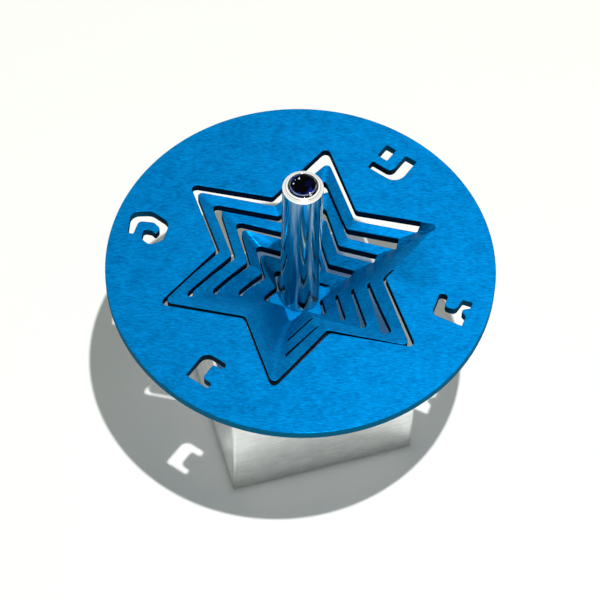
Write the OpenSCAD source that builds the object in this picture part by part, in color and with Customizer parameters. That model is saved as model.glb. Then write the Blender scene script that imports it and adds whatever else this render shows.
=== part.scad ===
// Spinning top on a block stand. The round disc is cut from sheet metal, with a nest of
// star frames pressed down in steps to the middle, and four game letters cut through the
// rim. A turned stem with a crystal in its end stands on the middle of the star, and a
// spindle below it turns in the bore of a square block.
// The underside of the block is the plane z = 0, and the spindle's axis is the Z axis.

/* [Disc] */
// Diameter of the disc
disc_d = 60; // [56:1:70]
// Thickness of the disc's sheet
sheet_t = 1.5; // [1.2:0.1:1.6]

/* [Star] */
// Distance from the axis to the points of the star hole
star_r = 22.9; // [21.9:0.1:23.6]
// Turn of the star from the side of the block, in degrees
star_turn = 3; // [0:1:60]
// Width of the slot between two star frames
slot_w = 0.4; // [0.4:0.05:0.7]
// Distance that the points of the core reach out past the stem's foot
core_rim = 2.5; // [2.2:0.1:3]
// Rounding of the points and notches of the star
star_round_r = 0.7; // [0.4:0.1:0.8]
// Depth that the middle of the star is pressed below the disc
press_depth = 8.8; // [8.4:0.1:9.4]
// Direction that the pressed frames tip down to, in degrees
tip_az = 56; // [50:1:62]

/* [Letters] */
// Distance from the disc's edge to the middle of the letters
letter_inset = 5.6; // [5.2:0.1:6]
// Size that the outlines of the letters follow
letter_h = 5; // [4:0.25:5]

/* [Stem] */
// Length of the stem, up to the outer edge of its end
stem_h = 28.8; // [20:0.2:34]
// Diameter of the stem at its foot
stem_foot_d = 6.2; // [5.8:0.1:6.6]
// Diameter of the stem at its end
stem_top_d = 6.1; // [5.6:0.1:6.4]
// Height of the bevelled end of the stem
rim_rise = 0.55; // [0.3:0.05:0.8]
// Width of the chamfer round the stem's foot
foot_chamfer = 0.2; // [0.1:0.05:0.3]

/* [Crystal] */
// Diameter of the crystal
crystal_d = 4.3; // [3.6:0.1:4.4]
// Height of the crystal's crown above its girdle
crown_h = 0.7; // [0.4:0.1:1]
// Depth of the crystal below its girdle
pavilion_h = 1.5; // [1:0.1:1.8]
// Height of the crystal's girdle
girdle_h = 0.2; // [0.1:0.05:0.3]
// Gap between the crystal and the wall of its seat
crystal_gap = 0.05; // [0.03:0.01:0.1]

/* [Spindle] */
// Height of the star's underside above the block
neck_h = 5.6; // [4.6:0.1:9]
// Diameter of the shoulder that the star rests on
shoulder_d = 6.2; // [5.8:0.1:6.8]
// Height of the shoulder's straight edge
shoulder_h = 1.2; // [0.8:0.1:2]
// Diameter of the shank in the block
shank_d = 4; // [3.4:0.1:4.4]
// Length of the straight shank that is inside the block
shank_h = 8; // [6:0.5:10]
// Height of the pointed tip
tip_h = 2; // [1.6:0.1:2.4]
// Radius of the ball at the very tip
tip_ball_r = 0.5; // [0.3:0.1:0.7]
// Diameter of the stud that joins the spindle to the stem
stud_d = 3; // [2.6:0.1:3.2]
// Length of the stud above the star
stud_h = 7; // [5:0.5:9]

/* [Block] */
// Width of the square block
block_w = 30.4; // [28:0.2:36]
// Height of the block
block_h = 22.4; // [18:0.2:30]
// Rounding of the block's edges
block_edge_r = 0.8; // [0.4:0.1:1.5]
// Width of the countersink at the mouth of the bore
sink_w = 0.6; // [0.3:0.1:1]

/* [Fits] */
// Running gap round the shank and the stud, on the radius
run_gap = 0.08; // [0.05:0.01:0.1]
// Gap under the tip of the spindle and over the end of the stud
end_gap = 0.15; // [0.1:0.05:0.3]

/* [Hidden] */

$fn = 96;
over = 0.5;          // how far a cut runs past the face that it opens
hair = 0.02;         // step that hides one surface just under another

core_z0 = block_h + neck_h;
core_z1 = core_z0 + sheet_t;
disc_z1 = core_z1 + press_depth;
disc_z0 = disc_z1 - sheet_t;

// The star is a nest of outlines. Outline 0 is the edge of the hole, each frame lies
// between an odd outline and the next even one, and the last outline is the core's.
frames = 4;
core_edge = 2 * frames + 1;
core_tip_r = stem_foot_d / 2 + core_rim;
frame_w = ((star_r - core_tip_r) / 2 - (frames + 1) * slot_w) / frames;
// Depth of each outline where it is free, as a share of the whole depth
edge_depth_shares = [0, 0.09, 0.14, 0.3, 0.34, 0.46, 0.61, 0.78, 0.93, 1];
// Angles that free frames twist and tip as they are pressed: the disc, frames, core
frame_twist = [0, 1.1, 4.4, 6.2, 7.3, 7.3];
frame_tip = [0, 5.5, 5.5, 8.7, 9.8, 0];
// Bridges across the slots, as [start, end] in corners counted from the point at 0:
// one across the outer slot, and two across each of the others
outer_bridge = [[-0.85, 0.15]];
inner_bridge = [[-1, 0.15], [6, 8.15]];
// Stretches where bridges hold the frames in line between the disc and the core, as
// [start, end, fade before, fade after, curve at start, curve at end]: at a curve of 1 the
// sheet falls evenly, and above 1 it falls late. Past the fades the frames are free.
holds = [[-1, -0.05, 1, 0.15, 1.15, 1.8], [6, 8.15, 0.8, 0.8, 1.7, 1.7]];
// Place of the extra station on the leg after each corner, where bridges end
leg_share = [0.15, 0.5, 0.5, 0.5, 0.5, 0.5, 0.5, 0.5, 0.15, 0.5, 0.5, 0.15];

arc_steps = 3;       // straight steps round each corner of the star
corners = 12;
lap = 0.6;           // how far the pressed frames reach into the disc and the core

function mix(a, b, t) = a + (b - a) * t;
function unit(v) = v / norm(v);
function turn2(p, a) = [p.x * cos(a) - p.y * sin(a), p.x * sin(a) + p.y * cos(a)];

// Points of an arc of radius r that rounds the corner at p
function round_at(before, p, after, r, steps) =
    let (u = unit(before - p),
         v = unit(after - p),
         half = acos(u * v) / 2,
         centre = p + unit(u + v) * r / sin(half),
         from = p + u * r / tan(half),
         side = sign(u.x * v.y - u.y * v.x),
         sweep = 180 - 2 * half)
    [for (i = [0 : steps]) centre + turn2(from - centre, -side * sweep * i / steps)];

// A closed outline from a list of [x, y, rounding]
function rounded(list, steps) =
    let (n = len(list))
    [for (i = [0 : n - 1])
        let (a = list[(i + n - 1) % n], p = list[i], b = list[(i + 1) % n])
        each round_at([a.x, a.y], [p.x, p.y], [b.x, b.y], p.z, steps)];

// Corner i of a six-pointed star: even corners are points and odd ones are notches
function star_corner(r, i) =
    let (reach = i % 2 == 0 ? r : r / sqrt(3))
    reach * [cos(30 * i), sin(30 * i)];

// One outline of the nest, flat: the arc of each corner, then a station on its leg
function corner_arc(r, i) =
    round_at(star_corner(r, i - 1 + corners), star_corner(r, i), star_corner(r, i + 1),
        star_round_r, arc_steps);
function star_outline(r) =
    [for (i = [0 : corners - 1])
        let (arc = corner_arc(r, i),
             next = corner_arc(r, i + 1))
        each concat(arc, [mix(arc[arc_steps], next[0], leg_share[i])])];

// Where each station lies, in corners: the arc of corner i is spread about i
function station(j) =
    let (per = arc_steps + 2,
         i = floor(j / per),
         k = j % per)
    k <= arc_steps ? i + (k / arc_steps - 0.5) / 10 : i + leg_share[i];
stations = corners * (arc_steps + 2);

function edge_tip_r(e) = star_r - 2 * (ceil(e / 2) * slot_w + floor(e / 2) * frame_w);

// How firmly a stretch holds the sheet at place s: 1 in it, and 0 where it is free
function hold(s, h) =
    max([for (t = [s - corners, s, s + corners])
        t < h[0] ? 1 - (h[0] - t) / h[2] : t > h[1] ? 1 - (t - h[1]) / h[3] : 1]);

// Share of the whole depth at place s of a stretch that holds, where even is the share of
// the way from the disc to the core
function held_depth(s, h, even) =
    let (t = s > h[1] + corners / 2 ? s - corners : s,
         along = min(1, max(0, (t - h[0]) / (h[1] - h[0]))))
    pow(even, mix(h[4], h[5], along));

// An outline of the nest in its pressed place, drawn with its points at radius r
function pressed(e, r, rise) =
    let (f = ceil(e / 2),
         fall = tan(frame_tip[f]) * [cos(tip_az), sin(tip_az)],
         even = (star_r - edge_tip_r(e)) / (star_r - core_tip_r),
         flat = star_outline(r))
    [for (j = [0 : stations - 1])
        let (s = station(j),
             held = [for (h = holds) max(0, hold(s, h))],
             free = 1 - held[0] - held[1],
             twist = mix(even * frame_twist[frames + 1], frame_twist[f], free),
             p = turn2(flat[j], star_turn - twist),
             held_share = held[0] * held_depth(s, holds[0], even)
                 + held[1] * held_depth(s, holds[1], even),
             free_depth = edge_depth_shares[e] * press_depth + fall * p)
        [p.x, p.y, disc_z1 - free * free_depth - held_share * press_depth + rise]];

function within(s, spans) =
    len([for (w = spans) for (t = [s - corners, s]) if (t > w[0] && t < w[1]) 1]) > 0;

// Whether the band inside outline e is metal between stations j and j + 1
function is_metal(e, j) =
    let (s = station(j),
         s_next = station((j + 1) % stations),
         middle = (s + (s_next < s ? s_next + corners : s_next)) / 2)
    e == -1 ? is_metal(0, j)
    : e == core_edge ? is_metal(core_edge - 1, j)
    : e < -1 || e > core_edge ? false
    : e % 2 == 1 ? true
    : within(middle, e == 0 ? outer_bridge : inner_bridge);

// The pressed frames and the bridges between them, as one closed shell. The first and
// last bands lie inside the disc and the core, a hair under their faces.
module pressed_frames() {
    outlines = concat(
        [pressed(0, star_r + lap, -hair)],
        [for (e = [0 : core_edge])
            pressed(e, edge_tip_r(e), e == 0 || e == core_edge ? -hair : 0)],
        [pressed(core_edge, edge_tip_r(core_edge) - lap, -hair)]);
    rows = len(outlines);
    top = [for (o = outlines) each o];
    bottom = [for (r = [0 : rows - 1])
        let (thin = r <= 1 || r >= rows - 2 ? 2 * hair : 0)
        for (p = outlines[r]) [p.x, p.y, p.z - sheet_t + thin]];
    low = len(top);
    function at(r, j) = r * stations + j % stations;
    faces = [for (r = [0 : rows - 2]) for (j = [0 : stations - 1])
        let (e = r - 1)
        if (is_metal(e, j))
        let (a = at(r, j), b = at(r, j + 1), c = at(r + 1, j + 1), d = at(r + 1, j))
        each concat(
            [[a, c, b], [a, d, c]],
            [[low + a, low + b, low + c], [low + a, low + c, low + d]],
            is_metal(e - 1, j) ? [] : [[a, b, low + a], [low + a, b, low + b]],
            is_metal(e + 1, j) ? [] : [[c, d, low + c], [low + c, d, low + d]],
            is_metal(e, (j + stations - 1) % stations)
                ? [] : [[d, a, low + d], [low + d, a, low + a]],
            is_metal(e, (j + 1) % stations)
                ? [] : [[b, c, low + c], [low + b, b, low + c]])];
    polyhedron(concat(top, bottom), faces);
}

// Letter outlines as shares of the letter size: x runs clockwise round the disc, y runs
// to the axis, and the third value is the rounding of that corner
nun_share = [[[-0.3, 0.62, 0.09], [0.48, 0.62, 0.26], [0.48, -0.37, 0.05],
    [-0.32, -0.37, 0.06], [-0.32, -0.18, 0.06], [0.03, -0.18, 0.14],
    [0.03, 0.4, 0.1], [-0.3, 0.4, 0.09]]];
gimel_share = [[[-0.47, 0.53, 0.1], [0.33, 0.53, 0.16], [0.43, -0.45, 0.03],
    [0.07, -0.45, 0.03], [-0.02, -0.3, 0.05], [-0.14, -0.3, 0.05],
    [-0.26, -0.5, 0.03], [-0.47, -0.5, 0.03], [-0.47, -0.21, 0.03],
    [-0.04, -0.1, 0.16], [-0.04, 0.26, 0.12], [-0.47, 0.28, 0.1]]];
hei_share = [[[-0.44, 0.62, 0.04], [0.68, 0.62, 0.4], [0.68, -0.44, 0.04],
    [0.28, -0.44, 0.04], [0.28, 0.35, 0.22], [-0.44, 0.35, 0.04]],
    [[-0.45, 0.06, 0.03], [-0.1, 0.06, 0.03], [-0.1, -0.44, 0.03],
    [-0.45, -0.44, 0.03]]];
pe_share = [[[-0.37, -0.56, 0.05], [0.4, -0.72, 0.3], [0.6, -0.1, 0.4],
    [0.34, 0.56, 0.3], [-0.34, 0.56, 0.25], [-0.62, 0.2, 0.2],
    [-0.48, -0.08, 0.09], [-0.12, -0.14, 0.1], [-0.1, 0.12, 0.1],
    [-0.2, 0.28, 0.06], [0.06, 0.36, 0.14], [0.22, 0.1, 0.16],
    [0.14, -0.38, 0.16], [-0.37, -0.4, 0.05]]];
letters_share = [nun_share, gimel_share, hei_share, pe_share];
// Place of each letter round the disc, from the point of the star at 0
letter_az = [-144.5, -39, 35, 145];
letter_steps = 6;

module letter(shape) {
    for (outline = shape)
        polygon(rounded([for (p = outline) p * letter_h], letter_steps));
}

module disc() {
    color([0.0, 0.5, 0.85]) {
        translate([0, 0, disc_z0])
            linear_extrude(sheet_t)
                difference() {
                    circle(d = disc_d);
                    rotate(star_turn)
                        polygon(star_outline(star_r));
                    for (i = [0 : len(letter_az) - 1])
                        rotate(star_turn + letter_az[i] + 90)
                            translate([0, letter_inset - disc_d / 2])
                                mirror([1, 0])
                                    letter(letters_share[i]);
                }
        pressed_frames();
        difference() {
            translate([0, 0, core_z0])
                linear_extrude(sheet_t)
                    rotate(star_turn - frame_twist[frames + 1])
                        polygon(star_outline(edge_tip_r(core_edge) + hair));
            translate([0, 0, core_z0 - over])
                cylinder(h = sheet_t + 2 * over, d = stud_d + 2 * run_gap);
        }
    }
}

module stem() {
    foot_r = stem_foot_d / 2;
    top_r = stem_top_d / 2;
    seat_r = crystal_d / 2 + crystal_gap;
    end_z = stem_h + rim_rise;
    seat_z = end_z - girdle_h - pavilion_h - crystal_gap;
    socket_r = stud_d / 2 + run_gap;
    socket_z = stud_h + end_gap;
    color([0.75, 0.8, 0.85])
        translate([0, 0, core_z1])
            rotate_extrude()
                polygon([[socket_r, 0], [foot_r - foot_chamfer, 0],
                    [foot_r, foot_chamfer], [top_r, stem_h], [seat_r, end_z],
                    [seat_r, seat_z], [0, seat_z], [0, socket_z], [socket_r, socket_z]]);
}

module crystal() {
    girdle_z = core_z1 + stem_h + rim_rise - girdle_h;
    table_share = 0.56;
    culet_share = 0.1;
    color([0.05, 0.1, 0.45]) {
        translate([0, 0, girdle_z]) {
            hull() {
                cylinder(h = girdle_h, d = crystal_d, $fn = 16);
                rotate(360 / 32)
                    cylinder(h = girdle_h + crown_h, d = crystal_d * table_share, $fn = 8);
            }
            translate([0, 0, -pavilion_h])
                hull() {
                    cylinder(h = pavilion_h / 8, d = crystal_d * culet_share, $fn = 8);
                    translate([0, 0, pavilion_h])
                        cylinder(h = girdle_h, d = crystal_d, $fn = 16);
                }
        }
    }
}

module spindle() {
    shank_r = shank_d / 2;
    shoulder_r = shoulder_d / 2;
    stud_r = stud_d / 2;
    mouth_z = block_h + over;
    cone_z = block_h - shank_h;
    tip_z = cone_z - tip_h;
    stud_chamfer = stud_d / 10;
    ball = [for (a = [-90 : 15 : -45])
        [tip_ball_r * cos(a), tip_z + tip_ball_r + tip_ball_r * sin(a)]];
    color([0.75, 0.78, 0.82])
        rotate_extrude()
            polygon(concat(ball, [[shank_r, cone_z], [shank_r, mouth_z],
                [shoulder_r, core_z0 - shoulder_h], [shoulder_r, core_z0],
                [stud_r, core_z0], [stud_r, core_z1 + stud_h - stud_chamfer],
                [stud_r - stud_chamfer, core_z1 + stud_h], [0, core_z1 + stud_h]]));
}

// A square bar with rounded edges, across the width w and the height h
module rounded_bar(w, h, length) {
    r = block_edge_r;
    linear_extrude(length, center = true) {
        square([w - 2 * r, h], center = true);
        square([w, h - 2 * r], center = true);
        for (sx = [-1, 1], sy = [-1, 1])
            translate([sx * (w / 2 - r), sy * (h / 2 - r)])
                circle(r = r, $fn = 32);
    }
}

module block() {
    bore_r = shank_d / 2 + run_gap;
    cone_z = block_h - shank_h;
    tip_z = cone_z - tip_h - end_gap;
    long = block_w + 2 * over;
    color([0.8, 0.8, 0.8])
        difference() {
            translate([0, 0, block_h / 2])
                intersection() {
                    rounded_bar(block_w, block_w, long);
                    rotate([90, 0, 0])
                        rounded_bar(block_w, block_h, long);
                    rotate([0, 90, 0])
                        rounded_bar(block_h, block_w, long);
                }
            rotate_extrude()
                polygon([[0, tip_z], [tip_ball_r, tip_z], [bore_r, cone_z - end_gap],
                    [bore_r, block_h - sink_w], [bore_r + sink_w + over, block_h + over],
                    [0, block_h + over]]);
        }
}

disc();
stem();
crystal();
spindle();
block();
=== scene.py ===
# %% [markdown]
# # A pressed metal dreidel on its block
#
# The object is a flat spinning top: one blue anodised sheet, cut along nested star outlines
# and pressed down in the middle, on a turned axle with a mirror-polished finger stem. It
# stands in a square brushed block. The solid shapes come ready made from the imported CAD
# model, so this lesson is about what makes them look real: soft edges, finishes and light.

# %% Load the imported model
import math

import bmesh
import bpy
from mathutils import Matrix, Vector


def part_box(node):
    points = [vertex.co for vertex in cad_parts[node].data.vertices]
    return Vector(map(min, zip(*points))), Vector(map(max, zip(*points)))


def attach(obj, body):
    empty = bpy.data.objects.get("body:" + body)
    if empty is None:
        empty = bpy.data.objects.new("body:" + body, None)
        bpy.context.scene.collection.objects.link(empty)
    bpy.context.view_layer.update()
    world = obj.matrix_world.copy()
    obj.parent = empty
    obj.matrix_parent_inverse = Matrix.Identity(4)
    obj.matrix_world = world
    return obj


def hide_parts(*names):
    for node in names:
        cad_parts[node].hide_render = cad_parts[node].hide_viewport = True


MM = 0.001  # one millimetre in metres, the unit of this file

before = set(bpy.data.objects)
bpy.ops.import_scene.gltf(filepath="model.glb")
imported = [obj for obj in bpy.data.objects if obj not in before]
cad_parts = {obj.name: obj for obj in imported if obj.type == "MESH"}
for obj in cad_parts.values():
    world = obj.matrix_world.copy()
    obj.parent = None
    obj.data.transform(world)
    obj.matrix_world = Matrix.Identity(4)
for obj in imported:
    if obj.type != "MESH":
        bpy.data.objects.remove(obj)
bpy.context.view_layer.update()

# %% [markdown]
# ## Measures
#
# Blender works in metres here, and the workshop sizes of this part are millimetres. The
# heights are read from the CAD solids, so that the turned pieces built below sit exactly
# where the CAD has them.

# %% Heights that the pieces share
block_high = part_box("block")[1]
disc_low, disc_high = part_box("disc")
stem_low, stem_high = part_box("stem")
crystal_low, crystal_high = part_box("crystal")
spindle_low, spindle_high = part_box("spindle")

disc_top = disc_high.z
core_top = stem_low.z
core_under = disc_low.z
print("disc top", round(disc_top / MM, 2), "mm, star's middle", round(core_top / MM, 2), "mm")

# %% [markdown]
# ## Small helpers
#
# Colours are picked on a screen as sRGB hex values, but a renderer adds light in linear
# values, so one function turns the first into the second. Another adds a node, to a
# material or to a geometry tree, sets its own settings and fills or links its sockets. The
# last puts a new object into the scene.

# %% Colour, node and object helpers
# A Mix node keeps a pair of inputs for each kind of data. These are the places of the pair
# for plain values and of the pair for colours, and the place of the mixed colour.
VALUE_A, VALUE_B = 2, 3
COLOUR_A, COLOUR_B, MIXED_COLOUR = 6, 7, 2


def linear(hex_colour):
    """An sRGB hex value as the linear colour that nodes expect."""
    parts = [int(hex_colour[i : i + 2], 16) / 255 for i in (1, 3, 5)]
    return [p / 12.92 if p <= 0.04045 else ((p + 0.055) / 1.055) ** 2.4 for p in parts] + [1.0]


def add(tree, kind, sockets=None, **settings):
    """Adds a node. A socket takes a plain value, or the output of another node."""
    node = tree.nodes.new(kind)
    for name, value in settings.items():
        setattr(node, name, value)
    for name, value in (sockets or {}).items():
        if isinstance(value, bpy.types.NodeSocket):
            tree.links.new(value, node.inputs[name])
        else:
            node.inputs[name].default_value = value
    return node


def new_object(name, data):
    """An object that shows this data, at the origin of the scene."""
    made = bpy.data.objects.new(name, data)
    bpy.context.scene.collection.objects.link(made)
    return made


print("anodised blue in linear values:", [round(v, 3) for v in linear("#0084D8")])

# %% [markdown]
# ## The camera
#
# The view looks down on the disc at 57 degrees, with a long lens from 0.4 metres away, so the
# round disc becomes an ellipse. Aiming is easiest from the middle of the object outwards: a
# direction and a distance give the place, and a last small roll levels the picture.

# %% Camera
AIM = Vector((0.06, -0.02, 28.13)) * MM
CAMERA_DISTANCE = 379 * MM
azimuth, elevation, roll = math.radians(-107.82), math.radians(56.86), math.radians(1.775)
away = Vector((
    math.cos(elevation) * math.cos(azimuth),
    math.cos(elevation) * math.sin(azimuth),
    math.sin(elevation),
))
camera = new_object("camera", bpy.data.cameras.new("camera"))
camera.data.lens = 144.8
camera.data.sensor_width = 36
camera.data.clip_start = 10 * MM
camera.location = AIM + away * CAMERA_DISTANCE
facing_in = away.to_track_quat("Z", "Y").to_matrix() @ Matrix.Rotation(roll, 3, "Z")
camera.rotation_euler = facing_in.to_euler()
bpy.context.scene.camera = camera
print("camera at", [round(v / MM, 1) for v in camera.location], "mm")

# %% [markdown]
# ## Light
#
# The shadow under the disc has a crisp edge, so one small lamp stands high over the object,
# a little towards the viewer. The rest is an even white room. Polished metal shows the room
# itself, so the room is pure white to camera, glossy and transmission rays. To diffuse rays
# it is dimmer and a little yellow, and that sets how dark the shadow on the floor is and
# gives it a grey-green tone.

# %% Key lamp
lamp = bpy.data.lights.new("key_lamp", "POINT")
lamp.energy = 31.7
lamp.shadow_soft_size = 8 * MM
key = new_object("key_lamp", lamp)
key.location = Vector((35.6, -203, 983)) * MM
print("key lamp", round(key.location.z / MM), "mm above the floor")

# %% White room
ROOM_LIGHT = 0.30
world = bpy.data.worlds.new("white_room")
world.use_nodes = True
tree = world.node_tree
tree.nodes.clear()
rays = add(tree, "ShaderNodeLightPath")
seen_or_mirrored = add(tree, "ShaderNodeMath", {
    0: rays.outputs["Is Camera Ray"], 1: rays.outputs["Is Glossy Ray"]}, operation="ADD")
shown = add(tree, "ShaderNodeMath", {
    0: seen_or_mirrored.outputs[0], 1: rays.outputs["Is Transmission Ray"]},
    operation="ADD", use_clamp=True)
strength = add(tree, "ShaderNodeMapRange", {
    "Value": shown.outputs[0], "To Min": ROOM_LIGHT, "To Max": 1.0})
tint = add(tree, "ShaderNodeMix", {
    0: shown.outputs[0], COLOUR_A: linear("#F4F9E8"), COLOUR_B: linear("#FFFFFF")},
    data_type="RGBA")
room = add(tree, "ShaderNodeBackground", {
    "Color": tint.outputs[MIXED_COLOUR], "Strength": strength.outputs[0]})
add(tree, "ShaderNodeOutputWorld", {"Surface": room.outputs[0]})
bpy.context.scene.world = world
bpy.context.scene.view_settings.view_transform = "Standard"
print("room lights diffuse surfaces at", ROOM_LIGHT)

# %% [markdown]
# ## Starting a finish
#
# Every finish starts in the same way: an empty node material and a node that gives the place
# of a point on its piece. Several finishes change with the distance from the axis, as marks
# of turning do, so that distance gets a function too.

# %% Start of a material, and distance from the axis
def new_finish(name):
    """An empty material, its node tree, and the node that tells where a point is."""
    material = bpy.data.materials.new(name)
    material.use_nodes = True
    material.node_tree.nodes.clear()
    return material, material.node_tree, add(material.node_tree, "ShaderNodeTexCoord")


def axis_distance(tree, place):
    """The distance of a point from the upright axis, in metres, as a socket."""
    parts = add(tree, "ShaderNodeSeparateXYZ", {0: place.outputs["Object"]})
    flat = add(tree, "ShaderNodeCombineXYZ", {0: parts.outputs["X"], 1: parts.outputs["Y"]})
    length = add(tree, "ShaderNodeVectorMath", {0: flat.outputs[0]}, operation="LENGTH")
    return length.outputs["Value"]


# %% [markdown]
# ## The floor
#
# A white glossy table top. It catches the shadow and a faint mirror image near the block.
# Far from the object it fades out into the white room, so no edge or horizon shows. It lies
# a hair below the block's foot, so that the two faces never share one plane.

# %% Floor
FLOOR_HALF = 600 * MM
FLOOR_HEIGHT = -0.02 * MM
CORNERS = ((-1, -1), (1, -1), (1, 1), (-1, 1))
mesh = bpy.data.meshes.new("table_top")
mesh.from_pydata(
    [(x * FLOOR_HALF, y * FLOOR_HALF, FLOOR_HEIGHT) for x, y in CORNERS], [], [(0, 1, 2, 3)])
floor = new_object("table_top", mesh)

table_white, tree, place = new_finish("white_table_top")
reach = add(tree, "ShaderNodeVectorMath", {0: place.outputs["Object"]}, operation="LENGTH")
fade = add(tree, "ShaderNodeMapRange", {
    "Value": reach.outputs["Value"], "From Min": 200 * MM, "From Max": 550 * MM},
    interpolation_type="SMOOTHSTEP")
lacquer = add(tree, "ShaderNodeBsdfPrincipled", {
    "Base Color": linear("#FDFDFB"), "Roughness": 0.25, "Specular IOR Level": 0.3})
clear = add(tree, "ShaderNodeBsdfTransparent")
near_and_far = add(tree, "ShaderNodeMixShader", {
    0: fade.outputs[0], 1: lacquer.outputs[0], 2: clear.outputs[0]})
add(tree, "ShaderNodeOutputMaterial", {"Surface": near_and_far.outputs[0]})
mesh.materials.append(table_white)
print("floor reaches", round(FLOOR_HALF / MM), "mm each way")

# %% [markdown]
# ## Finish: blue anodised sheet
#
# Anodising grows a clear layer on aluminium and dyes it. The sheet was brushed before it was
# dyed, and that leaves short streaks, all in one direction, that change the shade, the gloss
# and the height a little. A stretched noise texture draws them, and a second noise adds the
# cloudy patches of the dye bath.
#
# The real scratches are about 0.05 mm wide, which is finer than a pixel here, so the streaks
# are drawn 0.13 mm wide and 0.8 mm long.

# %% Anodised blue: streaks and clouds
BRUSHED_AT = math.radians(-17.8)
STREAK_SIZE = (0.8 * MM, 0.13 * MM, 0.5 * MM)  # along the brushing, across it, in depth
CLOUD_SIZE = 2.2 * MM
CLOUD_SHARE = 0.3

anodised, tree, place = new_finish("anodised_aluminium_blue")
along = add(tree, "ShaderNodeMapping", {
    "Vector": place.outputs["Object"], "Rotation": (0, 0, BRUSHED_AT),
    "Scale": STREAK_SIZE}, vector_type="TEXTURE")
streaks = add(tree, "ShaderNodeTexNoise", {
    "Vector": along.outputs[0], "Scale": 1.0, "Detail": 2.0, "Roughness": 0.6})
clouds = add(tree, "ShaderNodeTexNoise", {
    "Vector": place.outputs["Object"], "Scale": 1 / CLOUD_SIZE,
    "Detail": 3.0, "Roughness": 0.65})
grain = add(tree, "ShaderNodeMix", {
    0: CLOUD_SHARE, VALUE_A: streaks.outputs[0], VALUE_B: clouds.outputs[0]},
    data_type="FLOAT")
print("streaks run at", round(math.degrees(BRUSHED_AT), 1), "degrees")

# %% [markdown]
# The faces and the cut walls differ. The walls get painted shade: a wall looks sideways
# into the slots and into the dark under the disc, so it is given a darker colour than the
# face. The painted shade is deepest, nearly black, on the walls of the narrow slots of the
# star. It is lighter on the walls of the wider letters, and lightest on the outer rim's wall,
# which is a little darker than the face. So the wall colour changes with the distance from
# the axis. A point is on a face where the surface looks up or down, and on a wall where it
# looks sideways.

# %% Anodised blue: colours of the faces, and painted shade on the walls
STAR_EDGE, RIM = 23 * MM, 29.5 * MM

shade = add(tree, "ShaderNodeMapRange", {
    "Value": grain.outputs[0], "From Min": 0.32, "From Max": 0.68})
face_colour = add(tree, "ShaderNodeMix", {
    0: shade.outputs[0], COLOUR_A: linear("#004E84"), COLOUR_B: linear("#0080C6")},
    data_type="RGBA")
# Painted shade on the walls: nearly black in the narrow slots of the star, lighter out to the
# rim.
outwards = add(tree, "ShaderNodeMapRange", {
    "Value": axis_distance(tree, place), "From Min": STAR_EDGE, "From Max": RIM})
shaded_wall_colour = add(tree, "ShaderNodeMix", {
    0: outwards.outputs[0], COLOUR_A: linear("#001C30"), COLOUR_B: linear("#006288")},
    data_type="RGBA")
facing = add(tree, "ShaderNodeSeparateXYZ", {0: place.outputs["Normal"]})
flatness = add(tree, "ShaderNodeMath", {0: facing.outputs["Z"]}, operation="ABSOLUTE")
is_face = add(tree, "ShaderNodeMapRange", {
    "Value": flatness.outputs[0], "From Min": 0.3, "From Max": 0.5})
sheet_colour = add(tree, "ShaderNodeMix", {
    0: is_face.outputs[0], COLOUR_A: shaded_wall_colour.outputs[MIXED_COLOUR],
    COLOUR_B: face_colour.outputs[MIXED_COLOUR]}, data_type="RGBA")
print("walls turn from slot black to rim blue over", round((RIM - STAR_EDGE) / MM, 1), "mm")

# %% [markdown]
# Some light is scattered in the dye and some is mirrored by the metal under it, so the face
# is a little less than half metallic and all of its blue is in both. The streaks draw
# highlights out across them, and that is what the anisotropy and its tangent are for.

# %% Anodised blue: gloss, relief and shader
gloss = add(tree, "ShaderNodeMapRange", {
    "Value": grain.outputs[0], "From Min": 0.3, "From Max": 0.7, "To Min": 0.43, "To Max": 0.36})
metal_share = add(tree, "ShaderNodeMapRange", {
    "Value": is_face.outputs[0], "To Min": 0.1, "To Max": 0.45})
relief = add(tree, "ShaderNodeBump", {
    "Height": grain.outputs[0], "Strength": 0.35, "Distance": 0.02 * MM})
across_at = BRUSHED_AT + math.pi / 2
across = add(tree, "ShaderNodeVectorTransform", {
    0: (math.cos(across_at), math.sin(across_at), 0)},
    vector_type="VECTOR", convert_from="OBJECT", convert_to="WORLD")
surface = add(tree, "ShaderNodeBsdfPrincipled", {
    "Base Color": sheet_colour.outputs[MIXED_COLOUR], "Roughness": gloss.outputs[0],
    "Normal": relief.outputs[0], "Metallic": metal_share.outputs[0], "Specular IOR Level": 0.0,
    "Anisotropic": 0.8, "Tangent": across.outputs[0]})
add(tree, "ShaderNodeOutputMaterial", {"Surface": surface.outputs[0]})
print(anodised.name, "has", len(tree.nodes), "nodes")

# %% [markdown]
# ## Finish: mirror-polished aluminium
#
# The stem was turned and then polished to a mirror on a wheel. A low roughness makes it show
# the blue disc and the white slots around it. Polishing along the stem leaves faint
# lengthways waves, and these pull the reflections into long streaks. The side's colour is
# painted reflection on top of that: a blue-green tint for the blue disc it mirrors, with paler
# painted streaks along the waves for the white slots. The bevelled end is bare and white,
# with faint rings round the axis.

# %% Polished aluminium: waves and rings
WAVE_SIZE = (1.1 * MM, 1.1 * MM, 16 * MM)  # round the stem and along it
END_RING_GAP = 0.16 * MM

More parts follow.
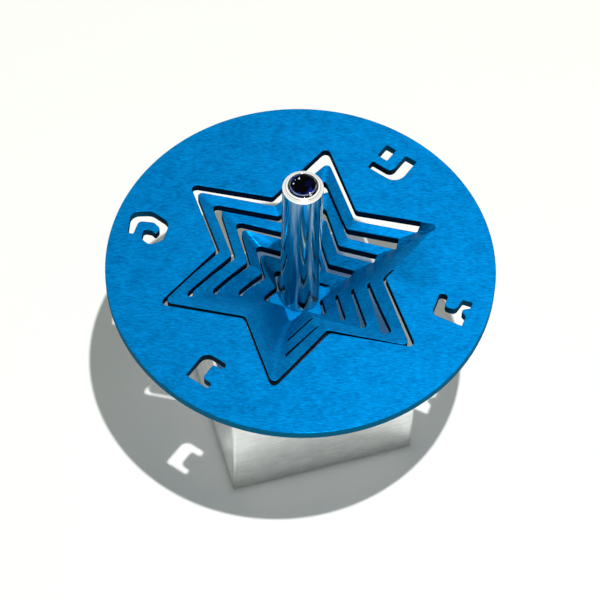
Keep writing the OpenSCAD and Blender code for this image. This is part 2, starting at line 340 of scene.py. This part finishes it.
polished, tree, place = new_finish("polished_aluminium")
along = add(tree, "ShaderNodeMapping", {
    "Vector": place.outputs["Object"], "Scale": WAVE_SIZE}, vector_type="TEXTURE")
waves = add(tree, "ShaderNodeTexNoise", {
    "Vector": along.outputs[0], "Scale": 1.0, "Detail": 2.0, "Roughness": 0.5})
streaks = add(tree, "ShaderNodeMapRange", {
    "Value": waves.outputs[0], "From Min": 0.46, "From Max": 0.62})
ring_count = add(tree, "ShaderNodeMath", {
    0: axis_distance(tree, place), 1: 1 / END_RING_GAP, 2: waves.outputs[0]},
    operation="MULTIPLY_ADD")
rings = add(tree, "ShaderNodeTexNoise", {
    "W": ring_count.outputs[0], "Scale": 1.0, "Detail": 2.0}, noise_dimensions="1D")
ring_marks = add(tree, "ShaderNodeMapRange", {
    "Value": rings.outputs[0], "From Min": 0.3, "From Max": 0.52})
print("polishing waves are", round(WAVE_SIZE[2] / MM), "mm long")

# %% Polished aluminium: painted reflection on the side, end tones and shader
# Painted reflection on the side: a blue-green tint for the mirrored disc, paler along the
# streaks.
painted_side_reflection = add(tree, "ShaderNodeMix", {
    0: streaks.outputs[0], COLOUR_A: linear("#90C2C4"), COLOUR_B: linear("#D6F0EC")},
    data_type="RGBA")
end_tone = add(tree, "ShaderNodeMix", {
    0: ring_marks.outputs[0], COLOUR_A: linear("#A2A49C"), COLOUR_B: linear("#FBFBF8")},
    data_type="RGBA")
facing = add(tree, "ShaderNodeSeparateXYZ", {0: place.outputs["Normal"]})
is_end = add(tree, "ShaderNodeMapRange", {
    "Value": facing.outputs["Z"], "From Min": 0.2, "From Max": 0.5})
tone = add(tree, "ShaderNodeMix", {
    0: is_end.outputs[0], COLOUR_A: painted_side_reflection.outputs[MIXED_COLOUR],
    COLOUR_B: end_tone.outputs[MIXED_COLOUR]}, data_type="RGBA")
haze = add(tree, "ShaderNodeMapRange", {
    "Value": streaks.outputs[0], "To Min": 0.08, "To Max": 0.27})
relief = add(tree, "ShaderNodeBump", {
    "Height": waves.outputs[0], "Strength": 0.5, "Distance": 0.015 * MM})
lengthways = add(tree, "ShaderNodeVectorTransform", {0: (0, 0, 1)},
                 vector_type="VECTOR", convert_from="OBJECT", convert_to="WORLD")
surface = add(tree, "ShaderNodeBsdfPrincipled", {
    "Base Color": tone.outputs[MIXED_COLOUR], "Roughness": haze.outputs[0],
    "Normal": relief.outputs[0], "Metallic": 1.0,
    "Anisotropic": 0.85, "Tangent": lengthways.outputs[0]})
add(tree, "ShaderNodeOutputMaterial", {"Surface": surface.outputs[0]})
print(polished.name, "has", len(tree.nodes), "nodes")

# %% [markdown]
# ## Finish: satin turned aluminium
#
# The spindle comes straight off the lathe. The tool leaves fine rings round the axis, about
# 0.1 mm apart. The sum of height and radius grows steadily along a wall as well as along a
# flat end, so one noise over that sum draws the rings on both.

# %% Turned aluminium
TOOL_RING_GAP = 0.1 * MM

turned_metal, tree, place = new_finish("turned_aluminium")
parts = add(tree, "ShaderNodeSeparateXYZ", {0: place.outputs["Object"]})
path = add(tree, "ShaderNodeMath", {
    0: axis_distance(tree, place), 1: parts.outputs["Z"]}, operation="ADD")
ring_count = add(tree, "ShaderNodeMath", {
    0: path.outputs[0], 1: 1 / TOOL_RING_GAP}, operation="MULTIPLY")
rings = add(tree, "ShaderNodeTexNoise", {
    "W": ring_count.outputs[0], "Scale": 1.0, "Detail": 2.0}, noise_dimensions="1D")
tone = add(tree, "ShaderNodeMix", {
    0: rings.outputs[0], COLOUR_A: linear("#B4B8BC"), COLOUR_B: linear("#D9DCDF")},
    data_type="RGBA")
haze = add(tree, "ShaderNodeMapRange", {
    "Value": rings.outputs[0], "To Min": 0.22, "To Max": 0.36})
relief = add(tree, "ShaderNodeBump", {
    "Height": rings.outputs[0], "Strength": 0.3, "Distance": 0.02 * MM})
surface = add(tree, "ShaderNodeBsdfPrincipled", {
    "Base Color": tone.outputs[MIXED_COLOUR], "Roughness": haze.outputs[0],
    "Normal": relief.outputs[0], "Metallic": 1.0})
add(tree, "ShaderNodeOutputMaterial", {"Surface": surface.outputs[0]})
print(turned_metal.name, "has", len(tree.nodes), "nodes")

# %% [markdown]
# ## Finish: brushed aluminium
#
# The block is square bar, brushed with a belt: long scratches run level round its sides, with
# a few deeper ones and a pale cloudy bloom between them. It is painted darker towards its
# foot, a painted contact shadow where it stands on the table. The real scratches are finer
# than a pixel, so they are drawn 0.22 mm wide.

# %% Brushed aluminium: scratches and bloom
SCRATCH_SIZE = (5 * MM, 5 * MM, 0.22 * MM)  # along the belt and up the side
BLOOM_SIZE = 3 * MM
BLOOM_SHARE = 0.4

brushed, tree, place = new_finish("brushed_aluminium")
along = add(tree, "ShaderNodeMapping", {
    "Vector": place.outputs["Object"], "Scale": SCRATCH_SIZE}, vector_type="TEXTURE")
scratches = add(tree, "ShaderNodeTexNoise", {
    "Vector": along.outputs[0], "Scale": 1.0, "Detail": 3.0, "Roughness": 0.65})
bloom = add(tree, "ShaderNodeTexNoise", {
    "Vector": place.outputs["Object"], "Scale": 1 / BLOOM_SIZE, "Detail": 4.0, "Roughness": 0.7})
wear = add(tree, "ShaderNodeMix", {
    0: BLOOM_SHARE, VALUE_A: scratches.outputs[0], VALUE_B: bloom.outputs[0]},
    data_type="FLOAT")
shade = add(tree, "ShaderNodeMapRange", {
    "Value": wear.outputs[0], "From Min": 0.35, "From Max": 0.65})
print("scratches are", round(SCRATCH_SIZE[2] / MM, 2), "mm wide")

# %% Brushed aluminium: tones, painted shade at the foot, and shader
FOOT_SHADE_TONE = 0.55

unshaded_tone = add(tree, "ShaderNodeMix", {
    0: shade.outputs[0], COLOUR_A: linear("#CCCECC"), COLOUR_B: linear("#F6F7F6")},
    data_type="RGBA")
parts = add(tree, "ShaderNodeSeparateXYZ", {0: place.outputs["Object"]})
# Painted shade: the tone is darker towards the foot, a painted contact shadow on the table.
above_foot = add(tree, "ShaderNodeMapRange", {
    "Value": parts.outputs["Z"], "From Min": -0.5 * MM, "From Max": 5 * MM},
    interpolation_type="SMOOTHSTEP")
painted_foot_shade = add(tree, "ShaderNodeMapRange", {
    "Value": above_foot.outputs[0], "To Min": FOOT_SHADE_TONE, "To Max": 1.0})
tone = add(tree, "ShaderNodeVectorMath", {
    0: unshaded_tone.outputs[MIXED_COLOUR], "Scale": painted_foot_shade.outputs[0]}, operation="SCALE")
haze = add(tree, "ShaderNodeMapRange", {
    "Value": shade.outputs[0], "To Min": 0.4, "To Max": 0.28})
relief = add(tree, "ShaderNodeBump", {
    "Height": wear.outputs[0], "Strength": 0.4, "Distance": 0.05 * MM})
surface = add(tree, "ShaderNodeBsdfPrincipled", {
    "Base Color": tone.outputs[0], "Roughness": haze.outputs[0],
    "Normal": relief.outputs[0], "Metallic": 1.0})
add(tree, "ShaderNodeOutputMaterial", {"Surface": surface.outputs[0]})
print(brushed.name, "has", len(tree.nodes), "nodes")

# %% [markdown]
# ## Finish: dark blue cut crystal
#
# A faceted stone of dark blue crystal glass. Light goes in, is thrown back by the facets
# underneath and comes out weaker and bluer, so it looks nearly black with small sparks. In
# its closed seat next to no light passes through, so the shader is nearly opaque and the
# sparks are painted into its colour, as painted highlights and painted reflections. They are
# cells of two Voronoi patterns: of the big cells most are black and some are painted blue
# reflections, and of the small ones a few are painted white highlights.

# %% Crystal glass: dark body, painted blue reflections and painted white highlights
SPARK_SIZE = 0.3 * MM
PATCH_SIZE = 0.9 * MM
DARK_SPARKS = 0.965  # share of the small cells that stay dark

stone, tree, place = new_finish("cut_crystal_glass_blue")
# Painted highlights: a few of the small cells are white sparks.
small_cells = add(tree, "ShaderNodeTexVoronoi", {
    "Vector": place.outputs["Object"], "Scale": 1 / SPARK_SIZE})
small_draw = add(tree, "ShaderNodeSeparateColor", {0: small_cells.outputs["Color"]})
is_painted_highlight = add(tree, "ShaderNodeMath", {
    0: small_draw.outputs["Green"], 1: DARK_SPARKS}, operation="GREATER_THAN")
# Painted reflections: some of the big cells are blue.
big_cells = add(tree, "ShaderNodeTexVoronoi", {
    "Vector": place.outputs["Object"], "Scale": 1 / PATCH_SIZE})
big_draw = add(tree, "ShaderNodeSeparateColor", {0: big_cells.outputs["Color"]})
is_painted_reflection = add(tree, "ShaderNodeMapRange", {
    "Value": big_draw.outputs["Red"], "From Min": 0.65, "From Max": 1.0})
body_and_reflection_colour = add(tree, "ShaderNodeMix", {
    0: is_painted_reflection.outputs[0], COLOUR_A: linear("#010104"), COLOUR_B: linear("#08207C")},
    data_type="RGBA")
painted_sparkle_colour = add(tree, "ShaderNodeMix", {
    0: is_painted_highlight.outputs[0], COLOUR_A: body_and_reflection_colour.outputs[MIXED_COLOUR],
    COLOUR_B: linear("#E6ECFA")}, data_type="RGBA")
print("about 1 small cell in", round(1 / (1 - DARK_SPARKS)), "is a spark")

# %% [markdown]
# The girdle of the stone shows as a thin pale ring just inside its edge, painted as a
# reflection of the light that the facets under it throw back. A noise breaks it into brighter
# and weaker lengths, because each facet under it throws back its own share.

# %% Crystal glass: painted pale ring and shader
GIRDLE_RING, RING_HALF_WIDTH = 1.94 * MM, 0.07 * MM
VEIL_SIZE = 0.8 * MM

at_girdle = add(tree, "ShaderNodeMath", {
    0: axis_distance(tree, place), 1: GIRDLE_RING, 2: RING_HALF_WIDTH}, operation="COMPARE")
veil = add(tree, "ShaderNodeTexNoise", {
    "Vector": place.outputs["Object"], "Scale": 1 / VEIL_SIZE, "Detail": 2.0})
ring_share = add(tree, "ShaderNodeMapRange", {
    "Value": veil.outputs[0], "From Min": 0.35, "From Max": 0.55, "To Min": 0.15, "To Max": 0.9})
# Painted reflection: the pale girdle ring.
painted_ring_paleness = add(tree, "ShaderNodeMath", {
    0: at_girdle.outputs[0], 1: ring_share.outputs[0]}, operation="MULTIPLY")
tone = add(tree, "ShaderNodeMix", {
    0: painted_ring_paleness.outputs[0], COLOUR_A: painted_sparkle_colour.outputs[MIXED_COLOUR],
    COLOUR_B: linear("#8E9CAE")}, data_type="RGBA")
surface = add(tree, "ShaderNodeBsdfPrincipled", {
    "Base Color": tone.outputs[MIXED_COLOUR], "Roughness": 0.05, "IOR": 1.5,
    "Specular IOR Level": 0.0, "Transmission Weight": 0.05})
add(tree, "ShaderNodeOutputMaterial", {"Surface": surface.outputs[0]})
print(stone.name, "has", len(tree.nodes), "nodes")

# %% [markdown]
# ## The pressed disc
#
# The shape of the sheet is right in the CAD, but its edges are perfectly sharp, and real cut
# edges catch light on a tiny rounding. A copy of the CAD mesh is merged, because the file
# stores loose triangles, and flat neighbours are joined into single faces. Then a Bevel
# modifier rounds the cut edges by 0.13 mm.

# %% Copy a CAD mesh cleanly
SHARP_FROM = math.radians(35)  # an edge with a wider angle than this stays sharp
FLAT_WITHIN = math.radians(0.05)
LEVEL_REACH = 0.04 * MM  # corners this near to a level are moved onto it
MERGE_ON_LEVELS, MERGE_PLAIN = 0.03 * MM, 0.002 * MM


def clean_copy(node, name, material, levels=()):
    """A new object with the merged mesh of a CAD node, its flat faces at the given levels."""
    mesh = bpy.data.meshes.new(name)
    bm = bmesh.new()
    bm.from_mesh(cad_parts[node].data)
    for vert in bm.verts:
        for level in levels:
            if abs(vert.co.z - level) < LEVEL_REACH:
                vert.co.z = level
    merge_within = MERGE_ON_LEVELS if levels else MERGE_PLAIN
    bmesh.ops.remove_doubles(bm, verts=bm.verts, dist=merge_within)
    bmesh.ops.dissolve_degenerate(bm, edges=bm.edges, dist=MERGE_PLAIN)
    flat = [e for e in bm.edges if len(e.link_faces) == 2 and e.calc_face_angle() < FLAT_WITHIN]
    bmesh.ops.dissolve_edges(bm, edges=flat, use_verts=True)
    bm.to_mesh(mesh)
    bm.free()
    for layer in ("custom_normal", "sharp_face", "sharp_edge"):
        if layer in mesh.attributes:
            mesh.attributes.remove(mesh.attributes[layer])
    mesh.materials.append(material)
    mesh.shade_smooth()
    mesh.set_sharp_from_angle(angle=SHARP_FROM)
    print(name, "has", len(mesh.vertices), "corners and", len(mesh.polygons), "faces")
    return new_object(name, mesh)


# %% Pressed disc
SHEET_THICKNESS = 1.5 * MM

disc = clean_copy("disc", "pressed_disc", anodised, levels=(
    disc_top, disc_top - SHEET_THICKNESS, core_top, core_under))
rounding = disc.modifiers.new("cut_edge_rounding", "BEVEL")
rounding.width = 0.13 * MM
rounding.segments = 2
rounding.limit_method = "ANGLE"
rounding.angle_limit = math.radians(50)
rounding.use_clamp_overlap = False
rounding.loop_slide = False
rounding.harden_normals = True
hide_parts("disc")
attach(disc, "top")

# %% [markdown]
# ## A lathe in Geometry Nodes
#
# The stem and the spindle are turned pieces, and a turned piece follows a rule: one profile,
# carried round the axis. The tree below is a small lathe. It makes a grid with one row for
# each profile point and one column for each step round the axis, and moves each grid point
# to its profile point's radius and height. The same tree makes both pieces.

# %% Lathe tree
def build_lathe():
    """A tree that turns the profile, a chain of points from axis to axis, into a solid."""
    tree = bpy.data.node_groups.new("lathe", "GeometryNodeTree")
    for name, kind in (("Profile", "NodeSocketGeometry"), ("Steps Round", "NodeSocketInt"),
                       ("Finish", "NodeSocketMaterial")):
        tree.interface.new_socket(name, in_out="INPUT", socket_type=kind)
    tree.interface.new_socket("Turned Piece", in_out="OUTPUT", socket_type="NodeSocketGeometry")
    given = add(tree, "NodeGroupInput")
    size = add(tree, "GeometryNodeAttributeDomainSize", {0: given.outputs["Profile"]})
    columns = add(tree, "ShaderNodeMath", {0: given.outputs["Steps Round"], 1: 1.0})
    grid = add(tree, "GeometryNodeMeshGrid", {
        "Vertices X": columns.outputs[0], "Vertices Y": size.outputs["Point Count"]})
    index = add(tree, "GeometryNodeInputIndex")
    row = add(tree, "ShaderNodeMath", {
        0: index.outputs[0], 1: size.outputs["Point Count"]}, operation="MODULO")
    steps_done = add(tree, "ShaderNodeMath", {
        0: index.outputs[0], 1: size.outputs["Point Count"]}, operation="DIVIDE")
    column = add(tree, "ShaderNodeMath", {0: steps_done.outputs[0]}, operation="FLOOR")
    spot = add(tree, "GeometryNodeInputPosition")
    point = add(tree, "GeometryNodeSampleIndex", {
        0: given.outputs["Profile"], "Value": spot.outputs[0], "Index": row.outputs[0]},
        data_type="FLOAT_VECTOR")
    share = add(tree, "ShaderNodeMath", {
        0: column.outputs[0], 1: given.outputs["Steps Round"]}, operation="DIVIDE")
    angle = add(tree, "ShaderNodeMath", {0: share.outputs[0], 1: math.tau}, operation="MULTIPLY")
    carried = add(tree, "ShaderNodeVectorRotate", {
        "Vector": point.outputs["Value"], "Angle": angle.outputs[0]}, rotation_type="Z_AXIS")
    body = add(tree, "GeometryNodeSetPosition", {
        "Geometry": grid.outputs["Mesh"], "Position": carried.outputs[0]})
    sealed = add(tree, "GeometryNodeMergeByDistance", {
        "Geometry": body.outputs[0], "Distance": 0.001 * MM})
    real = add(tree, "GeometryNodeRealizeInstances", {"Geometry": sealed.outputs[0]})
    coated = add(tree, "GeometryNodeSetMaterial", {
        "Geometry": real.outputs[0], "Material": given.outputs["Finish"]})
    add(tree, "NodeGroupOutput", {0: coated.outputs[0]})
    return tree


lathe = build_lathe()
print("lathe tree with", len(lathe.nodes), "nodes")

# %% [markdown]
# ## Profiles
#
# A profile is written as corners with a radius, a height and a small rounding each, all in
# millimetres, from the axis at one end of the piece to the axis at the other. The rounding
# becomes a short arc, because a turned edge is always broken with a file or a polishing
# cloth, and that arc is what draws the thin bright line round the rim.

# %% Profile with rounded corners
ARC_STEPS = 4


def rounded_profile(corners):
    """Points of a chain whose corners (radius, height, rounding) are rounded by arcs."""
    points = []
    for i, (radius, height, rounding) in enumerate(corners):
        here = Vector((radius, height))
        if rounding == 0 or i in (0, len(corners) - 1):
            points.append(here)
            continue
        to_last = (Vector(corners[i - 1][:2]) - here).normalized()
        to_next = (Vector(corners[i + 1][:2]) - here).normalized()
        half = to_last.angle(to_next) / 2
        centre = here + (to_last + to_next).normalized() * rounding / math.sin(half)
        start = here + to_last * rounding / math.tan(half) - centre
        end = here + to_next * rounding / math.tan(half) - centre
        for k in range(ARC_STEPS + 1):
            swung = start.normalized().slerp(end.normalized(), k / ARC_STEPS)
            points.append(centre + swung * rounding)
    return [(p.x * MM, 0, p.y * MM) for p in points]


print("a profile of 3 corners has", len(rounded_profile([(0, 0, 0), (1, 0, 0.1), (1, 1, 0)])),
      "points")

# %% [markdown]
# A tree runs as a modifier on a blank object. Its result is taken over as a plain mesh and
# the blank is thrown away. The modifier's inputs are set by the identifiers of their
# sockets, before Blender works it out for the first time.

# %% Run a tree, and turn a piece with it
def run_tree(tree, name, start_mesh, inputs):
    """The plain mesh that a tree with these inputs makes from a start mesh."""
    blank = new_object(name + "_blank", start_mesh)
    making = blank.modifiers.new(tree.name, "NODES")
    making.node_group = tree
    sockets = {s.name: s.identifier for s in tree.interface.items_tree if s.in_out == "INPUT"}
    for socket, value in inputs.items():
        making[sockets[socket]] = value
    bpy.context.view_layer.update()
    solid = blank.evaluated_get(bpy.context.evaluated_depsgraph_get())
    mesh = bpy.data.meshes.new_from_object(solid)
    mesh.name = name
    bpy.data.objects.remove(blank)
    return mesh


def shade_evenly(piece):
    """Makes wide faces shade flat and the roundings beside them smooth."""
    even = piece.modifiers.new("even_shading", "WEIGHTED_NORMAL")
    even.keep_sharp = True


def turn_piece(name, corners, steps_round, material):
    """A piece turned from a profile, as a plain mesh with its faces outwards."""
    profile = rounded_profile(corners)
    chain = bpy.data.meshes.new(name + "_profile")
    chain.from_pydata(profile, [(i, i + 1) for i in range(len(profile) - 1)], [])
    mesh = run_tree(lathe, name, chain, {"Steps Round": steps_round, "Finish": material})
    bm = bmesh.new()
    bm.from_mesh(mesh)
    bmesh.ops.recalc_face_normals(bm, faces=bm.faces)
    bm.to_mesh(mesh)
    bm.free()
    mesh.shade_smooth()
    mesh.set_sharp_from_angle(angle=SHARP_FROM)
    piece = new_object(name, mesh)
    shade_evenly(piece)
    print(name, "is turned from", len(profile), "points:", len(mesh.polygons), "faces")
    return piece


# %% [markdown]
# ## The finger stem
#
# It tapers by a few tenths of a millimetre, and its end is a bevel that rises to the seat of
# the crystal. In its foot is the blind hole for the spindle's stud.

# %% Finger stem, sizes in millimetres
SEAT_RADIUS, SEAT_DEPTH = 2.2, 1.75
END_RADIUS, END_BEVEL = 3.05, 0.55
FOOT_BEVEL = 0.2
HOLE_RADIUS, HOLE_DEPTH = 1.58, 7.15

foot, end = core_top / MM, stem_high.z / MM
foot_radius = (stem_high.x - stem_low.x) / 2 / MM
stem = turn_piece("turned_stem", [
    (0, end - SEAT_DEPTH, 0), (SEAT_RADIUS, end - SEAT_DEPTH, 0.1),
    (SEAT_RADIUS, end, 0.08), (END_RADIUS, end - END_BEVEL, 0.22),
    (foot_radius, foot + FOOT_BEVEL, 0.06), (foot_radius - FOOT_BEVEL, foot, 0.05),
    (HOLE_RADIUS, foot, 0.05), (HOLE_RADIUS, foot + HOLE_DEPTH, 0.1), (0, foot + HOLE_DEPTH, 0),
], steps_round=160, material=polished)
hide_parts("stem")
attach(stem, "top")

# %% [markdown]
# ## The spindle
#
# Almost hidden under the disc: a stud that goes up into the stem, a shoulder that carries the
# sheet, and a shank with a pointed tip that turns in the block's bore.

# %% Spindle, sizes in millimetres
TIP_RADIUS, TIP_HEIGHT = 0.2, 2.0
SHANK_RADIUS, SHANK_ABOVE_MOUTH = 2.0, 0.5
SHOULDER_RADIUS, SHOULDER_HEIGHT = 3.1, 1.2
STUD_RADIUS, STUD_BEVEL = 1.5, 0.3

tip, stud_end = spindle_low.z / MM, spindle_high.z / MM
under = core_under / MM
mouth = block_high.z / MM
spindle = turn_piece("turned_spindle", [
    (0, tip, 0), (TIP_RADIUS, tip, 0.2), (SHANK_RADIUS, tip + TIP_HEIGHT, 0.1),
    (SHANK_RADIUS, mouth + SHANK_ABOVE_MOUTH, 0.4),
    (SHOULDER_RADIUS, under - SHOULDER_HEIGHT, 0.3), (SHOULDER_RADIUS, under, 0.1),
    (STUD_RADIUS, under, 0.05), (STUD_RADIUS, stud_end - STUD_BEVEL, 0.05),
    (STUD_RADIUS - STUD_BEVEL, stud_end, 0.05), (0, stud_end, 0),
], steps_round=120, material=turned_metal)
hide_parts("spindle")
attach(spindle, "spindle")

# %% [markdown]
# ## The crystal
#
# A round brilliant is cut by rule: eight facets round the table, eight kites, sixteen facets
# at the girdle, and the same idea below. Its corners lie on a few rings, and the convex hull
# of those rings is exactly the faceted stone, so the tree has one ring for each row of
# corners, with the radius and height of each as named inputs.

# %% Brilliant tree
HALF_STEP = math.pi / 8  # half the angle between two of eight corners
# Each ring's number of corners, and whether it is turned by half a step.
RINGS = {"Table": (8, False), "Star": (8, True), "Girdle Top": (16, False),
         "Girdle Foot": (16, False), "Pavilion": (8, True), "Culet": (8, False)}


def build_brilliant():
    """A tree that cuts a faceted stone from rings of corners."""
    tree = bpy.data.node_groups.new("brilliant_cut", "GeometryNodeTree")
    for name in RINGS:
        for what in ("Radius", "Height"):
            tree.interface.new_socket(
                f"{name} {what}", in_out="INPUT", socket_type="NodeSocketFloat")
    tree.interface.new_socket("Glass", in_out="INPUT", socket_type="NodeSocketMaterial")
    tree.interface.new_socket("Stone", in_out="OUTPUT", socket_type="NodeSocketGeometry")
    given = add(tree, "NodeGroupInput")
    rings = add(tree, "GeometryNodeJoinGeometry")
    for name, (corners, is_turned) in RINGS.items():
        circle = add(tree, "GeometryNodeMeshCircle", {
            "Vertices": corners, "Radius": given.outputs[f"{name} Radius"]})
        lift = add(tree, "ShaderNodeCombineXYZ", {"Z": given.outputs[f"{name} Height"]})
        ring = add(tree, "GeometryNodeTransform", {
            "Geometry": circle.outputs[0], "Translation": lift.outputs[0],
            "Rotation": (0, 0, HALF_STEP if is_turned else 0)})
        tree.links.new(ring.outputs[0], rings.inputs[0])
    cut = add(tree, "GeometryNodeConvexHull", {0: rings.outputs[0]})
    real = add(tree, "GeometryNodeRealizeInstances", {"Geometry": cut.outputs[0]})
    glass = add(tree, "GeometryNodeSetMaterial", {
        "Geometry": real.outputs[0], "Material": given.outputs["Glass"]})
    add(tree, "NodeGroupOutput", {0: glass.outputs[0]})
    return tree


brilliant = build_brilliant()
print("brilliant tree with", len(brilliant.nodes), "nodes")

# %% [markdown]
# A kite facet has four corners, and they lie in one plane only if the star ring has the right
# height for its radius. So that height is worked out from the table and the girdle, and the
# pavilion ring's from the girdle and the culet.

# %% Rings of the stone, in millimetres
stone_radius = (crystal_high.x - crystal_low.x) / 2 / MM
table_height, culet_height = crystal_high.z / MM, crystal_low.z / MM
girdle_top, girdle_foot = table_height - 0.7, table_height - 0.9
table_radius, star_radius = 0.56 * stone_radius, 0.8 * stone_radius
pavilion_radius, culet_radius = 0.34 * stone_radius, 0.1 * stone_radius


def kite_height(ring_radius, inner_radius, inner_height, outer_height):
    """Height at which a ring's corners lie in the planes of the kite facets."""
    share = (stone_radius - ring_radius * math.cos(HALF_STEP)) / (stone_radius - inner_radius)
    return outer_height + (inner_height - outer_height) * share


star_height = kite_height(star_radius, table_radius, table_height, girdle_top)
pavilion_height = kite_height(pavilion_radius, culet_radius, culet_height, girdle_foot)
ring_sizes = {
    "Table": (table_radius, table_height), "Star": (star_radius, star_height),
    "Girdle Top": (stone_radius, girdle_top), "Girdle Foot": (stone_radius, girdle_foot),
    "Pavilion": (pavilion_radius, pavilion_height), "Culet": (culet_radius, culet_height),
}
print("star ring lies", round(table_height - star_height, 2), "mm under the table")

# %% Crystal
inputs = {"Glass": stone}
for name, (radius, height) in ring_sizes.items():
    inputs[name + " Radius"] = radius * MM
    inputs[name + " Height"] = height * MM
mesh = run_tree(brilliant, "cut_crystal", bpy.data.meshes.new("uncut_stone"), inputs)
crystal = new_object("cut_crystal", mesh)
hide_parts("crystal")
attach(crystal, "top")
print("crystal with", len(mesh.polygons), "facets")

# %% [markdown]
# ## The block
#
# The CAD solid already has its rounded edges and the bore. A clean copy with weighted normals
# shades the wide faces flat and the roundings smooth.

# %% Block
block = clean_copy("block", "square_block", brushed)
shade_evenly(block)
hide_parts("block")
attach(block, "stand")
